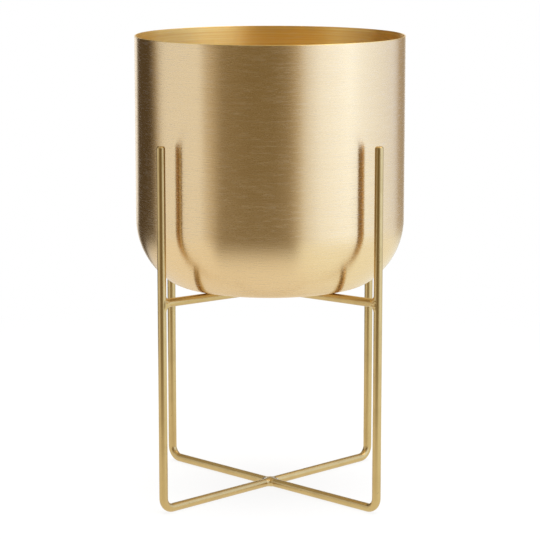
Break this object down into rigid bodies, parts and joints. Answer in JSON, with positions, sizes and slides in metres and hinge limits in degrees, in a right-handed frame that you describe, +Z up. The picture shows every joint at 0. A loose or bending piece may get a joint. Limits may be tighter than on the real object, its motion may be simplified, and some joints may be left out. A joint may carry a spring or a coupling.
{
  "type": "planter with stand",
  "caption": "Round brushed brass planter pot with a rounded lower corner, standing loose on the crossbars of a welded stand of bent round rod with uprights beside the pot.",
  "frame": {"origin": "on the floor, under the middle of the stand", "axes": "+Z up, along the pot's axis; -Y towards the front, with the uprights on the diagonals of X and Y"},
  "size_m": [0.255, 0.255, 0.4375],
  "materials": {
    "brushed_brass": "pale brass colour, brushed round the pot",
    "satin_brass": "brass colour, satin",
    "plated_weld": "brass colour over ground weld fillets"
  },
  "bodies": {
    "stand": {"leg_frame": "satin_brass", "front_left_leg": "satin_brass", "back_right_leg": "satin_brass", "crossbar": "satin_brass", "front_right_half_crossbar": "satin_brass", "back_left_half_crossbar": "satin_brass", "upright_weld_front_left": "plated_weld", "upright_weld_front_right": "plated_weld", "upright_weld_back_left": "plated_weld", "upright_weld_back_right": "plated_weld", "floor_cross_welds": "plated_weld", "crossbar_cross_welds": "plated_weld"},
    "pot": {"planter_pot": "brushed_brass"}
  },
  "joints": [
    {"name": "pot_lift", "type": "slide", "parent": "stand", "child": "pot", "axis": [0, 0, 1], "range_m": [0, 0.2]}
  ]
}
